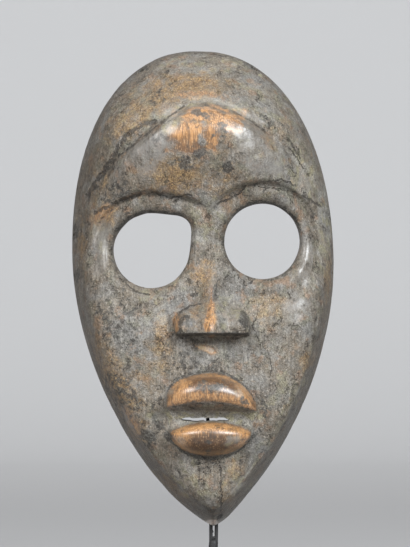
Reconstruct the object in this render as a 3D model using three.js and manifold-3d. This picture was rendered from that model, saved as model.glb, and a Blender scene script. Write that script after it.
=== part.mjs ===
// A carved wooden face mask with round pierced eyes, held up on a steel rod and a foot plate.
// Millimetres, +Z up. The face looks along -Y, and the origin is the middle of the plate's underside.
import * as THREE from 'three';
import { mergeVertices } from 'three/addons/utils/BufferGeometryUtils.js';
import Module from 'manifold-3d';

const { clamp, degToRad, lerp, smoothstep } = THREE.MathUtils;
const wasm = await Module();
wasm.setup();

// Mask
const maskHeight = 240;
const maskWidth = 132;
const faceDepth = 50; // from the back edge to the crown of the forehead
const wallThickness = 9; // wood left behind the face
const rimWidth = 7.5; // width of the flat back edge
const eyeWidth = 38;
const eyeHeight = 37.5;
const slitLength = 24;
const slitHeight = 1.6;
const fixingHoleDiameter = 3.6;
const fixingHoleSetBack = 9; // from the back edge to each fixing hole's axis

// Stand
const plateWidth = 110;
const plateDepth = 90;
const plateThickness = 8;
const plateCorner = 3;
const plateChamfer = 0.8;
const chinHeight = 62; // from the table to the tip of the chin
const rimSetBack = 20; // from the plate's middle to the mask's back edge
const shankDiameter = 4.6;
const wireDiameter = 1.8;
const wireGap = 0.8; // between the two wires under the chin
const forkDrop = 9; // from the chin's tip to where the wires leave the shank
const fitGap = 0.4; // between the stand and what it touches
const footRecess = 1; // rod's end above the plate's underside

// The carving is drawn on a plan: across in half widths of the mask, up in its heights from the chin.
const halfWidth = maskWidth / 2;
const widest = 0.56; // height of the widest line
const hub = new THREE.Vector2(0.04, 0.42); // middle of the face, which the dome falls away from

const bump = (x) => Math.exp(-x * x);
const share = (part) => part * maskHeight;

// A smooth curve through a few [place, value] stations
function curveThrough(stations) {
  const last = stations.length - 1;
  const slopes = stations.map((_, i) => {
    const [before, after] = [stations[Math.max(i - 1, 0)], stations[Math.min(i + 1, last)]];
    return (after[1] - before[1]) / (after[0] - before[0]);
  });
  return (place) => {
    const found = stations.findIndex(([at]) => at > place);
    const i = found < 0 ? last - 1 : clamp(found - 1, 0, last - 1);
    const [[x0, y0], [x1, y1]] = [stations[i], stations[i + 1]];
    const span = x1 - x0;
    const t = clamp((place - x0) / span, 0, 1);
    const rise = t * t * (3 - 2 * t);
    const leave = t * (1 - t) * (1 - t) * slopes[i] * span;
    const arrive = t * t * (1 - t) * slopes[i + 1] * span;
    return y0 + (y1 - y0) * rise + leave - arrive;
  };
}

// Half width of the outline at a height: a rounded crown above the widest line, a pointed jaw below it
function halfSpan(up) {
  const crownRoundness = 2.2;
  const jawCurve = 1.85;
  const jawTaper = 0.78;
  if (up >= widest) {
    const rise = clamp((up - widest) / (1 - widest), 0, 1);
    return (1 - rise ** crownRoundness) ** (1 / crownRoundness);
  }
  const drop = clamp((widest - up) / widest, 0, 1);
  return (1 - drop ** jawCurve) ** jawTaper;
}

// The hand-cut outline leans a little, and the chin's tip swings further out
function midline(up) {
  const lean = 0.09;
  const chinSwing = 0.03;
  const chinReach = 0.05;
  return lean * (widest - up) + chinSwing * bump(up / chinReach);
}

// How far out a place lies on the plan: 0 at the hub, 1 on the outline
function reachOf(place) {
  const halvings = 30;
  let [inner, outer] = [0, 1];
  for (let i = 0; i < halvings; i += 1) {
    const reach = (inner + outer) / 2;
    const { x, y } = hub.clone().lerp(place, 1 / reach);
    const isInside = y >= 0 && y <= 1 && Math.abs(x - midline(y)) <= halfSpan(y);
    if (isInside) outer = reach;
    else inner = reach;
  }
  return outer;
}

// Length on the plan, in millimetres
const planLength = (across, up) => Math.hypot(across * halfWidth, up * maskHeight);

// The dome of the face, from its middle (reach 0) to its outline (reach 1), in millimetres
const centreDepth = curveThrough([
  [0, 0.88], [0.06, 0.86], [0.13, 0.85], [0.24, 0.89], [0.4, 0.88], [0.5, 0.84], [0.6, 0.84],
  [0.66, 0.93], [0.72, 1.08], [0.78, 1.24], [0.84, 1.36], [0.89, 1.31], [0.95, 1.16], [1, 1.0],
]);
const carvingEdge = { fades: 0.84, ends: 0.98 }; // where the carving dies out towards the outline
const roundOver = (reach, sharpness) => Math.sqrt(Math.max(0, 1 - reach ** sharpness));

// The crown rolls over in a long curve, and the jaw stays flat up to a narrow bevel
function edgeFall(reach, up) {
  const crownSharpness = 2.3;
  const jawSharpness = 16;
  const bevelDepth = 0.24;
  const bevelFrom = 0.9;
  const bevelWidth = 0.085;
  const crownward = smoothstep(up, 0.2, 0.7);
  const bevel = bevelDepth * clamp((reach - bevelFrom) / bevelWidth, 0, 1) * (1 - crownward);
  return roundOver(reach, lerp(jawSharpness, crownSharpness, crownward)) * (1 - bevel);
}

// The hollow's own edges are rounder
const hollowFall = (reach, up) => roundOver(reach, lerp(5.6, 1.84, smoothstep(up, 0.12, 0.75)));

// Eyes: the left one, as seen, sits lower and has a corner towards the nose
const eyes = [
  { across: -0.392, up: 0.5785, outward: -1, corner: 0.25 },
  { across: 0.448, up: 0.598, outward: 1, corner: 0 },
];

function eyeRadius(eye, angle) {
  const cornerAngle = degToRad(38);
  const cornerSpread = degToRad(22);
  const round = 1 / Math.hypot(Math.cos(angle) / (eyeWidth / 2), Math.sin(angle) / (eyeHeight / 2));
  return round * (1 + eye.corner * bump((angle - cornerAngle) / cornerSpread));
}

// Sunk socket under a hooded brow, with a raised ring round the outer and lower side of the hole
function carveEye(eye, across, up) {
  const socketDepth = share(0.015);
  const browReach = share(0.046);
  const browEdge = share(0.012);
  const cheekReach = share(0.08);
  const ringReach = share(0.02);
  const ringWidth = share(0.016);
  const ringRise = share(0.01);
  const dx = (across - eye.across) * halfWidth;
  const dz = (up - eye.up) * maskHeight;
  const angle = Math.atan2(dz, dx);
  const outside = Math.hypot(dx, dz) - eyeRadius(eye, angle);
  const skyward = smoothstep(Math.sin(angle), -0.1, 0.6);
  const hooded = 1 - smoothstep(outside, browReach - browEdge, browReach + browEdge / 2);
  const open = 1 - smoothstep(outside, 0, cheekReach);
  const awayFromNose = smoothstep(eye.outward * Math.cos(angle) - 0.6 * Math.sin(angle), -0.5, 0.5);
  const ring = ringRise * bump((outside - ringReach) / ringWidth) * lerp(0.15, 1, awayFromNose);
  return ring - socketDepth * lerp(open, hooded, skyward);
}

// Arched step across the forehead, with the polished boss swelling out under it
const arch = { across: 0.015, top: 0.8925, drop: 0.24, power: 1.7, end: 0.86 };

function carveForehead(across, up) {
  const bossRise = share(0.024);
  const bossEdge = share(0.024);
  const grooveDepth = share(0.008);
  const grooveWidth = share(0.013);
  const offset = Math.abs(across - arch.across);
  const height = arch.top - arch.drop * offset ** arch.power;
  const slope = (arch.drop * arch.power * offset ** (arch.power - 1) * maskHeight) / halfWidth;
  const below = ((height - up) * maskHeight) / Math.hypot(1, slope);
  const inward = 1 - smoothstep(offset, 0.25, arch.end);
  const boss = bossRise * smoothstep(below, 0, bossEdge) * (1 - smoothstep(below, share(0.05), share(0.17)));
  const groove = grooveDepth * bump(below / grooveWidth) * smoothstep(offset, 0.05, 0.5);
  return boss * lerp(0.35, 1, inward) - groove * (1 - smoothstep(offset, arch.end, 1));
}

// Nose: a ridge from between the eyes that flares into two wings over a flat lower edge
const nose = { across: 0.07, top: 0.6, base: 0.405, rise: share(0.066) };
const wing = { across: share(0.05), up: share(0.016), halfWidth: share(0.029), halfHeight: share(0.037) };
const noseHalfWidth = curveThrough([
  [0, share(0.018)], [0.5, share(0.025)], [0.64, share(0.032)], [0.78, share(0.066)], [0.88, share(0.076)],
  [1, share(0.078)],
]);
const noseRidge = curveThrough([[0, 0], [0.35, 0.1], [0.55, 0.28], [0.72, 0.6], [0.88, 0.92], [1, 1]]);

function carveNose(across, up) {
  const underEdge = share(0.006);
  const wingRise = share(0.044);
  const dx = Math.abs(across - nose.across) * halfWidth;
  const dz = (up - nose.base) * maskHeight;
  const length = (nose.top - up) / (nose.top - nose.base);
  const roof = Math.max(0, 1 - dx / noseHalfWidth(length)) ** 0.9;
  const lobe = ((dx - wing.across) / wing.halfWidth) ** 2 + ((dz - wing.up) / wing.halfHeight) ** 2;
  const rise = Math.max(nose.rise * roof * noseRidge(length), wingRise * Math.max(0, 1 - lobe) ** 0.4);
  return rise * smoothstep(dz, -underEdge, underEdge);
}

// Mouth: two full lips round a valley that the slit is cut through
const mouth = {
  across: 0.055,
  up: 0.245,
  leftHalfWidth: share(0.093),
  rightHalfWidth: share(0.101),
  lowerHalfWidth: share(0.091),
  above: share(0.082),
  below: share(0.094),
};
const slit = { across: 0.02, up: 0.2295 };
const lipRise = share(0.058);
const lipProfile = curveThrough([
  [-1.15, 0], [-1, 0.04], [-0.85, 0.6], [-0.6, 0.95], [-0.4, 0.9], [-0.27, 0.55], [-0.17, 0.12],
  [0, 0.25], [0.22, 0.75], [0.34, 0.93], [0.58, 1], [0.82, 0.75], [1, 0.06], [1.15, 0],
]);

// Share of the way from the mouth's middle to its corner, and from the valley to a lip's outer edge,
// with 0.25 on each lip's inner edge
function mouthPlace(dx, dz) {
  const isLeft = dx < 0;
  const upperHalf = isLeft ? mouth.leftHalfWidth : mouth.rightHalfWidth;
  const half = lerp(upperHalf, mouth.lowerHalfWidth, smoothstep(-dz, 0, share(0.03)));
  const along = Math.min(1, Math.abs(dx) / half);
  const round = 1 - along ** 2;
  const isUpper = dz > 0;
  const start = isUpper
    ? share(0.022) * Math.max(0.1, 1 - (isLeft ? 0.65 : 1.1) * along ** 2)
    : share(0.021) + share(0.034) * along ** 2;
  const reach = isUpper ? mouth.above * round ** (isLeft ? 0.3 : 0.7) : mouth.below * round ** 0.4;
  const span = reach - start;
  const height = Math.abs(dz);
  const lip = height < start ? (0.25 * height) / start : 0.25 + (0.75 * (height - start)) / Math.max(span, 1e-3);
  const closing = lerp(1, smoothstep(span, 0, share(0.02)), smoothstep(lip, 0.05, 0.2));
  return { along, lip: isUpper ? lip : -lip, closing };
}

function carveMouth(across, up) {
  const muzzleRise = share(0.014);
  const muzzleSize = share(0.13);
  const cornerDepth = share(0.012);
  const cornerSize = share(0.014);
  const dx = (across - mouth.across) * halfWidth;
  const dz = (up - mouth.up) * maskHeight;
  const muzzle = muzzleRise * bump(dx / muzzleSize) * bump(dz / muzzleSize);
  const leftward = smoothstep(-dx, share(0.075), share(0.095)) - smoothstep(-dx, share(0.11), share(0.135));
  const corner = cornerDepth * bump((dz + cornerSize) / cornerSize) * leftward;
  const { along, lip, closing } = mouthPlace(dx, dz);
  const lips = lipRise * Math.sqrt(1 - along ** 2) * lipProfile(clamp(lip, -1.15, 1.15)) * closing;
  return muzzle - corner + lips;
}

// Two planes of the chin meet in a low keel under the mouth
function carveChin(across, up) {
  const keelAcross = 0.134;
  const keelRise = share(0.012);
  const keelHalfWidth = share(0.07);
  const slope = Math.max(0, 1 - (Math.abs(across - keelAcross) * halfWidth) / keelHalfWidth);
  return keelRise * slope * (1 - smoothstep(up, 0.1, 0.17));
}

// Depth of the carved front and of the hollowed back, in front of the back edge
function frontDepth(across, up, reach) {
  const carving = carveForehead(across, up) + carveNose(across, up) + carveMouth(across, up)
    + carveChin(across, up) + carveEye(eyes[0], across, up) + carveEye(eyes[1], across, up);
  const fade = 1 - smoothstep(reach, carvingEdge.fades, carvingEdge.ends);
  return centreDepth(up) * faceDepth * edgeFall(reach, up) + carving * fade;
}

function backDepth(across, up, reach) {
  const hollowReach = share(0.09);
  const hollowDepth = share(0.03);
  const noseMiddle = nose.base + 0.04;
  const mouthward = bump(planLength(across - mouth.across, up - mouth.up) / hollowReach);
  const noseward = bump(planLength(across - nose.across, up - noseMiddle) / hollowReach);
  const hollow = hollowDepth * Math.max(mouthward, noseward) * (1 - reach ** 2);
  return (centreDepth(up) * faceDepth - wallThickness) * hollowFall(reach, up) + hollow;
}

// A point of the mask at a place on the plan, on its front or its hollowed back
function maskPoint(across, up, isBack) {
  const place = new THREE.Vector2(across, up);
  const reach = reachOf(place);
  if (isBack) {
    const outline = hub.clone().lerp(place, 1 / reach);
    const rim = rimWidth / planLength(outline.x - hub.x, outline.y - hub.y);
    place.lerp(hub, rim);
  }
  const depth = isBack ? backDepth(place.x, place.y, reach) : frontDepth(place.x, place.y, reach);
  return new THREE.Vector3(place.x * halfWidth, -depth, place.y * maskHeight);
}

// Solids for the cuts and joins
function solidOf(geometry) {
  const bare = geometry.clone();
  bare.deleteAttribute('normal');
  bare.deleteAttribute('uv');
  const merged = mergeVertices(bare, 1e-4);
  const triangles = [];
  for (let i = 0; i < merged.index.count; i += 3) {
    const corners = Array.from(merged.index.array.slice(i, i + 3));
    if (new Set(corners).size === 3) triangles.push(...corners);
  }
  return new wasm.Manifold(new wasm.Mesh({
    numProp: 3,
    vertProperties: new Float32Array(merged.getAttribute('position').array),
    triVerts: new Uint32Array(triangles),
  }));
}

function geometryOf(solid) {
  const { vertProperties, triVerts } = solid.getMesh();
  const geometry = new THREE.BufferGeometry();
  geometry.setAttribute('position', new THREE.BufferAttribute(vertProperties, 3));
  geometry.setIndex(new THREE.BufferAttribute(triVerts, 1));
  geometry.computeVertexNormals();
  return geometry;
}

// The blank: a sheet wrapped across the face, round the back edge and back across the hollow.
// Its rows crowd at the mouth and under the nose, and its columns at the sides.
const rowHeight = curveThrough([
  [0, 0], [0.05, 0.018], [0.15, 0.13], [0.28, 0.215], [0.42, 0.31], [0.47, 0.37], [0.51, 0.396],
  [0.56, 0.42], [0.64, 0.5], [0.74, 0.64], [0.84, 0.78], [0.94, 0.93], [0.975, 0.98], [1, 1],
]);

function maskBlank() {
  const faceColumns = 42;
  const hollowColumns = 8;
  const columns = faceColumns + hollowColumns + 2;
  const rows = 72;
  const crowding = 0.2;
  const sheet = new THREE.PlaneGeometry(1, 1, columns, rows);
  const position = sheet.getAttribute('position');
  for (let i = 0; i < position.count; i += 1) {
    const column = i % (columns + 1);
    const isBack = column > faceColumns && column < columns;
    const turn = isBack
      ? 1 - (2 * (column - faceColumns - 1)) / hollowColumns
      : (2 * column) / faceColumns - 1;
    const side = column === columns ? -1 : turn * (1 + crowding * (1 - Math.abs(turn) ** 5));
    const up = rowHeight(1 - Math.floor(i / (columns + 1)) / rows);
    const { x, y, z } = maskPoint(midline(up) + side * halfSpan(up), up, isBack);
    position.setXYZ(i, x, y, z);
  }
  return splitShort(sheet, columns, rows);
}

// Splits each four-cornered cell of a sheet along its shorter diagonal
function splitShort(sheet, columns, rows) {
  const position = sheet.getAttribute('position');
  const corner = (i) => new THREE.Vector3().fromBufferAttribute(position, i);
  const triangles = [];
  for (let cell = 0; cell < columns * rows; cell += 1) {
    const a = cell + Math.floor(cell / columns);
    const [b, c, d] = [a + columns + 1, a + columns + 2, a + 1];
    const isFalling = corner(a).distanceTo(corner(c)) < corner(b).distanceTo(corner(d));
    triangles.push(...(isFalling ? [a, b, c, a, c, d] : [a, b, d, b, c, d]));
  }
  sheet.setIndex(triangles);
  return sheet;
}

const throughDepth = 2 * faceDepth;

function eyeCutter(eye) {
  const corners = 36;
  const edge = Array.from({ length: corners }, (_, i) => {
    const angle = (2 * Math.PI * i) / corners - Math.PI;
    const radius = eyeRadius(eye, angle);
    return new THREE.Vector2(radius * Math.cos(angle), radius * Math.sin(angle));
  });
  const cutter = new THREE.ExtrudeGeometry(new THREE.Shape(edge), {
    depth: 2 * throughDepth,
    bevelEnabled: false,
  });
  cutter.rotateX(Math.PI / 2);
  return cutter.translate(eye.across * halfWidth, throughDepth, eye.up * maskHeight);
}

function slitCutter() {
  const cutter = new THREE.BoxGeometry(slitLength, 2 * throughDepth, slitHeight);
  return cutter.translate(slit.across * halfWidth, 0, slit.up * maskHeight);
}

// Holes for fixing a costume, drilled through the side wall towards the face's middle
const fixingHoles = [
  { side: -1, up: 0.62 }, { side: -1, up: 0.524 }, { side: -1, up: 0.963 },
  { side: 1, up: 0.967 }, { side: 1, up: 0.659 }, { side: 1, up: 0.527 }, { side: 1, up: 0.018 },
];

function fixingHoleCutter({ side, up }) {
  const sides = 10;
  const drillLength = 6 * rimWidth;
  const radius = fixingHoleDiameter / 2;
  const edge = new THREE.Vector3((side * halfSpan(up) + midline(up)) * halfWidth, 0, up * maskHeight);
  const inward = new THREE.Vector3(hub.x * halfWidth, 0, hub.y * maskHeight).sub(edge).normalize();
  const cutter = new THREE.CylinderGeometry(radius, radius, drillLength, sides);
  cutter.applyQuaternion(new THREE.Quaternion().setFromUnitVectors(new THREE.Vector3(0, 1, 0), inward));
  return cutter.translate(edge.x, -fixingHoleSetBack, edge.z);
}

function maskGeometry() {
  const cutters = [...eyes.map(eyeCutter), slitCutter(), ...fixingHoles.map(fixingHoleCutter)];
  return geometryOf(cutters.reduce((solid, cutter) => solid.subtract(solidOf(cutter)), solidOf(maskBlank())));
}

// Stand, in the part's own frame
const rimY = rimSetBack;
const rodY = rimY + fitGap + wireDiameter / 2;
const chinX = midline(0) * halfWidth;
const above = (part) => chinHeight + share(part);
const shankFoot = new THREE.Vector3(0, rodY, footRecess);
const shankTop = new THREE.Vector3(chinX, rodY, chinHeight - forkDrop);

function roundBar(points, diameter, sides, steps) {
  const ring = new THREE.Shape(Array.from({ length: sides }, (_, i) => {
    const angle = (2 * Math.PI * i) / sides;
    return new THREE.Vector2((diameter / 2) * Math.cos(angle), (diameter / 2) * Math.sin(angle));
  }));
  const path = points.length > 2
    ? new THREE.CatmullRomCurve3(points, false, 'centripetal')
    : new THREE.LineCurve3(...points);
  return new THREE.ExtrudeGeometry(ring, { steps, extrudePath: path, bevelEnabled: false });
}

const wireStep = (wireDiameter + wireGap) / 2;

// The long wire climbs behind the nose and ends in a hook under the forehead
function spineWire() {
  const hookUp = 0.86;
  const hookReach = reachOf(new THREE.Vector2(0, hookUp)) / (1 - rimWidth / share(1 - hub.y));
  const hookY = rimY - backDepth(0, hookUp, hookReach) + wireDiameter + fitGap;
  const wireX = shankTop.x + wireStep;
  const slackY = rimY - faceDepth / 4;
  return roundBar([
    new THREE.Vector3(wireX, rodY, shankTop.z - wireDiameter),
    new THREE.Vector3(wireX, rodY, above(0.02)),
    new THREE.Vector3(lerp(wireX, slit.across * halfWidth, 0.4), rodY - wireDiameter, above(0.09)),
    new THREE.Vector3(lerp(wireX, slit.across * halfWidth, 0.8), slackY, above(slit.up)),
    new THREE.Vector3(0, slackY, above(0.45)),
    new THREE.Vector3(0, slackY, above(0.7)),
    new THREE.Vector3(0, lerp(slackY, hookY, 0.35), above(0.8)),
    new THREE.Vector3(0, hookY, above(hookUp)),
  ], wireDiameter, 6, 28);
}

// The short wire hooks forward over the inner edge of the chin
function chinWire() {
  const wireX = shankTop.x - wireStep;
  const edgeZ = chinHeight + rimWidth;
  const bendRadius = wireDiameter / 2 + 2.5 * fitGap;
  const bend = bendRadius / Math.SQRT2;
  return roundBar([
    new THREE.Vector3(wireX, rodY, shankTop.z - wireDiameter),
    new THREE.Vector3(wireX, rodY, edgeZ - wireDiameter),
    new THREE.Vector3(wireX, rimY + bend, edgeZ + bend),
    new THREE.Vector3(wireX, rimY, edgeZ + bendRadius),
    new THREE.Vector3(wireX, rimY - fixingHoleSetBack, edgeZ + 1.4 * bendRadius),
  ], wireDiameter, 6, 12);
}

// Lumps of weld between the wires
function weldBeads() {
  const beads = [
    { below: 0.95, wide: 1, tall: 0.5 },
    { below: 0.68, wide: 1, tall: 0.35 },
    { below: 0.34, wide: 0.5, tall: 0.4 },
  ];
  return beads.map(({ below, wide, tall }) => {
    const bead = new THREE.IcosahedronGeometry(1, 1);
    bead.scale(wide * wireStep, 0.45 * wireDiameter, tall * wireDiameter);
    return bead.translate(shankTop.x - (1 - wide) * wireStep, rodY, chinHeight - below * forkDrop);
  });
}

function rodGeometry() {
  const shank = roundBar([shankFoot, shankTop], shankDiameter, 12, 1);
  const bars = [shank, spineWire(), chinWire(), ...weldBeads()];
  return geometryOf(bars.map(solidOf).reduce((joined, bar) => joined.add(bar)));
}

// Foot plate with eased edges and a hole that the rod's end stands in
function plateGeometry() {
  const [w, d, r] = [plateWidth / 2 - plateChamfer, plateDepth / 2 - plateChamfer, plateCorner];
  const outline = new THREE.Shape()
    .moveTo(-w + r, -d).lineTo(w - r, -d).absarc(w - r, -d + r, r, -Math.PI / 2, 0)
    .lineTo(w, d - r).absarc(w - r, d - r, r, 0, Math.PI / 2)
    .lineTo(-w + r, d).absarc(-w + r, d - r, r, Math.PI / 2, Math.PI)
    .lineTo(-w, -d + r).absarc(-w + r, -d + r, r, Math.PI, 1.5 * Math.PI);
  const plate = new THREE.ExtrudeGeometry(outline, {
    depth: plateThickness - 2 * plateChamfer,
    bevelThickness: plateChamfer,
    bevelSize: plateChamfer,
    bevelSegments: 1,
    curveSegments: 3,
  }).translate(0, 0, plateChamfer);
  const along = shankTop.clone().sub(shankFoot).normalize();
  const ends = [-1, 1].map((way) => shankFoot.clone().addScaledVector(along, way * 2 * plateThickness));
  const hole = roundBar(ends, shankDiameter + 2 * fitGap, 12, 1);
  return geometryOf(solidOf(plate).subtract(solidOf(hole)));
}

const carvedWood = new THREE.MeshStandardMaterial({
  name: 'carved_wood',
  color: 0x8a7e70,
  roughness: 0.6,
  metalness: 0,
});
const blackSteel = new THREE.MeshStandardMaterial({
  name: 'black_steel',
  color: 0x2b2b2c,
  roughness: 0.5,
  metalness: 0.7,
});

function namedMesh(name, geometry, material) {
  const mesh = new THREE.Mesh(geometry, material);
  mesh.name = name;
  return mesh;
}

const mask = namedMesh('mask', maskGeometry(), carvedWood);
mask.position.set(0, rimY, chinHeight);

const part = new THREE.Group();
part.add(
  mask,
  namedMesh('stand_rod', rodGeometry(), blackSteel),
  namedMesh('stand_plate', plateGeometry(), blackSteel),
);

export default part;
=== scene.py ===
# A carved wooden face mask, worn and dusty, upright on its black steel holder
from math import radians

import bmesh
import bpy
import numpy as np
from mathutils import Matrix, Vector


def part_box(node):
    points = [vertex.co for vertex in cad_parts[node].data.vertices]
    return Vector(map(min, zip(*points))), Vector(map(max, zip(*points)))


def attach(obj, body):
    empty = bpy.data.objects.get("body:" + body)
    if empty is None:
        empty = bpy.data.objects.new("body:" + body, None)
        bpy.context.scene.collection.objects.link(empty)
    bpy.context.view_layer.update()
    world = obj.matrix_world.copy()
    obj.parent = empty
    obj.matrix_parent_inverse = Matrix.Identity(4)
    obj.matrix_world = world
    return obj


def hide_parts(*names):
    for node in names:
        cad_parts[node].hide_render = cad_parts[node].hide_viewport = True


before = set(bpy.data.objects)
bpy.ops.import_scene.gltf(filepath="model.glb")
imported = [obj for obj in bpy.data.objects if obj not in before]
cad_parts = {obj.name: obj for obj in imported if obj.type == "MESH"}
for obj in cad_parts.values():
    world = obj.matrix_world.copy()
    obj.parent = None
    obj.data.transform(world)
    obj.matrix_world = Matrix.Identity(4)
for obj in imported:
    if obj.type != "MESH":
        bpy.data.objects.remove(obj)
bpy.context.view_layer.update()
mm = 0.001


# Shaping helpers, all on whole arrays

def bump(x):  # bell curve, 1 at 0
    return np.exp(-np.square(x))


def ease(x, low, high):  # 0 below low, 1 above high, 3t^2 - 2t^3 between
    t = np.clip((x - low) / (high - low), 0, 1)
    return t * t * (3 - 2 * t)


def lerp(a, b, t):
    return a + (b - a) * t


def curveThrough(stations, place):  # smooth curve through [place, value] stations
    at, value = np.array(stations, float).T
    before = np.maximum(np.arange(len(at)) - 1, 0)
    after = np.minimum(np.arange(len(at)) + 1, len(at) - 1)
    slope = (value[after] - value[before]) / (at[after] - at[before])
    i = np.clip(np.searchsorted(at, place, side="right") - 1, 0, len(at) - 2)
    span = at[i + 1] - at[i]
    t = np.clip((place - at[i]) / span, 0, 1)
    rise = t * t * (3 - 2 * t)
    leave = t * (1 - t) ** 2 * slope[i] * span
    arrive = t * t * (1 - t) * slope[i + 1] * span
    return value[i] + (value[i + 1] - value[i]) * rise + leave - arrive


def softNoise(points, size, seed):  # values on a random lattice, blended smoothly, -1 to 1
    cells = 32
    lattice = np.random.default_rng(seed).uniform(-1, 1, (cells, cells, cells))
    place = points / size
    corner = np.floor(place).astype(int)
    t = place - corner
    t = t * t * (3 - 2 * t)
    total = 0
    for step in np.ndindex(2, 2, 2):
        weight = np.prod(np.where(np.array(step) == 1, t, 1 - t), axis=-1)
        x, y, z = ((corner + step) % cells).T
        total = total + weight * lattice[x, y, z]
    return total


# The mask's plan: across in half widths, up in heights from the chin, as the carver's drawing

maskLow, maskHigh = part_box("mask")
maskHeight = maskHigh.z - maskLow.z
halfWidth = (maskHigh.x - maskLow.x) / 2
rimY = maskHigh.y
chinZ = maskLow.z

maskSizes = {
    "faceDepth": 50 * mm,
    "wall": 9 * mm,
    "rim": 7.5 * mm,
    "rimRounding": 1.1 * mm,
    "eyeWidth": 38 * mm,
    "eyeHeight": 37.5 * mm,
    "eyeRoll": 3.6 * mm,
    "slitLength": 24 * mm,
    "slitHeight": 1.6 * mm,
    "fixingHole": 3.6 * mm,
    "fixingSetBack": 9 * mm,
    "rows": 340,
    "faceColumns": 228,
    "hollowColumns": 36,
}
widest = 0.56
hubAcross, hubUp = 0.04, 0.42  # behind the nose, where reach is 0


def halfSpan(up):  # superellipse of power 2.2 above the widest line, tapered to a point below it
    rise = np.clip((up - widest) / (1 - widest), 0, 1)
    drop = np.clip((widest - up) / widest, 0, 1)
    crown = (1 - rise ** 2.2) ** (1 / 2.2)
    jaw = (1 - drop ** 1.85) ** 0.78
    return np.where(up >= widest, crown, jaw)


def midline(up):  # leans steadily, and swings out at the chin's tip
    return 0.09 * (widest - up) + 0.03 * bump(up / 0.05)


def reachOf(across, up):  # 0 at the hub, 1 on the outline, found by halving
    inner, outer = np.zeros_like(up), np.ones_like(up)
    for halving in range(30):
        reach = (inner + outer) / 2
        farAcross = hubAcross + (across - hubAcross) / reach
        farUp = hubUp + (up - hubUp) / reach
        inside = (farUp >= 0) & (farUp <= 1) & (np.abs(farAcross - midline(farUp)) <= halfSpan(farUp))
        outer = np.where(inside, reach, outer)
        inner = np.where(inside, inner, reach)
    return outer


def planLength(across, up):  # in metres
    return np.hypot(across * halfWidth, up * maskHeight)


def share(part):  # of the mask's height
    return part * maskHeight


def edgeFall(reach, up):  # quarter of a superellipse, tight at the jaw and long at the crown
    crownward = ease(up, 0.2, 0.7)
    bevel = 0.24 * np.clip((reach - 0.9) / 0.085, 0, 1)
    fall = np.sqrt(np.maximum(0, 1 - reach ** lerp(16, 2.3, crownward)))
    return fall * (1 - bevel * (1 - crownward))


def hollowFall(reach, up):  # the same for the hollow, rounder
    sharpness = lerp(5.6, 1.84, ease(up, 0.12, 0.75))
    return np.sqrt(np.maximum(0, 1 - reach ** sharpness))


domeStations = [  # up, and the depth there as a share of the face's
    [0, 0.88], [0.06, 0.86], [0.13, 0.85], [0.24, 0.89], [0.4, 0.88], [0.5, 0.84], [0.6, 0.84],
    [0.66, 0.93], [0.72, 1.08], [0.78, 1.24], [0.84, 1.36], [0.89, 1.31], [0.95, 1.16], [1, 1],
]

# The carving: places as in the plan, lengths in shares of the mask's height unless mm is named

eyes = [
    {"across": -0.392, "up": 0.5785, "outward": -1, "corner": 0.25},
    {"across": 0.448, "up": 0.598, "outward": 1, "corner": 0},
]
eyeCorner = {"angle": radians(38), "spread": radians(22)}
socket = {
    "depth": 0.015, "width": 0.08, "browReach": 0.046, "hoodInside": 0.011, "hoodOutside": 0.005,
    "ringHeight": 0.01, "ringReach": 0.02, "ringWidth": 0.016,
    "creaseDepth": 0.0035, "creaseInset": 0.006, "creaseWidth": 0.005,
}


def eyeRadius(eye, angle):  # ellipse, with one corner drawn out towards the nose
    halfAcross, halfUp = maskSizes["eyeWidth"] / 2, maskSizes["eyeHeight"] / 2
    oval = 1 / np.hypot(np.cos(angle) / halfAcross, np.sin(angle) / halfUp)
    return oval * (1 + eye["corner"] * bump((angle - eyeCorner["angle"]) / eyeCorner["spread"]))


def eyePlace(eye, across, up):  # distance outside the hole, and the angle round it
    dx = (across - eye["across"]) * halfWidth
    dz = (up - eye["up"]) * maskHeight
    angle = np.arctan2(dz, dx)
    return np.hypot(dx, dz) - eyeRadius(eye, angle), angle


def skywardOf(eye, angle):  # 0 below an eye and 1 above it, but less towards the nose
    noseward = np.maximum(0, -eye["outward"] * np.cos(angle))
    return ease(np.sin(angle) - 0.55 * noseward, -0.1, 0.6)


def carveEye(eye, across, up):  # sunk socket, ring round the hole, hooded brow, and an edge rolled inwards
    outside, angle = eyePlace(eye, across, up)
    skyward = skywardOf(eye, angle)
    size = {name: share(part) for name, part in socket.items()}
    brow = size["browReach"]
    hooded = 1 - ease(outside, brow - size["hoodInside"], brow + size["hoodOutside"])
    bowl = 1 - ease(outside, 0, size["width"])
    awayFromNose = ease(eye["outward"] * np.cos(angle) - 0.6 * np.sin(angle), -0.5, 0.5)
    ring = size["ringHeight"] * bump((outside - size["ringReach"]) / size["ringWidth"])
    ring = ring * lerp(0.35, 1, awayFromNose)
    crease = bump((outside - brow + size["creaseInset"]) / size["creaseWidth"])
    crease = size["creaseDepth"] * crease * skyward
    roll = maskSizes["eyeRoll"]
    fallen = roll - np.sqrt(np.maximum(0, roll ** 2 - np.square(np.clip(roll - outside, 0, roll))))
    return ring - crease - size["depth"] * lerp(bowl, hooded, skyward) - fallen


arch = {"across": 0.015, "top": 0.8925, "drop": 0.24, "power": 1.7, "end": 0.86}
boss = {"height": 0.024, "rise": 0.024, "fallFrom": 0.05, "fallTo": 0.17}
groove = {"depth": 0.0085, "below": 0.002, "width": 0.0085}


def archPlace(across, up):  # distance below the arched step, and how far along it
    offset = np.abs(across - arch["across"])
    height = arch["top"] - arch["drop"] * offset ** arch["power"]
    slope = arch["drop"] * arch["power"] * offset ** (arch["power"] - 1) * maskHeight / halfWidth
    return (height - up) * maskHeight / np.hypot(1, slope), offset


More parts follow.
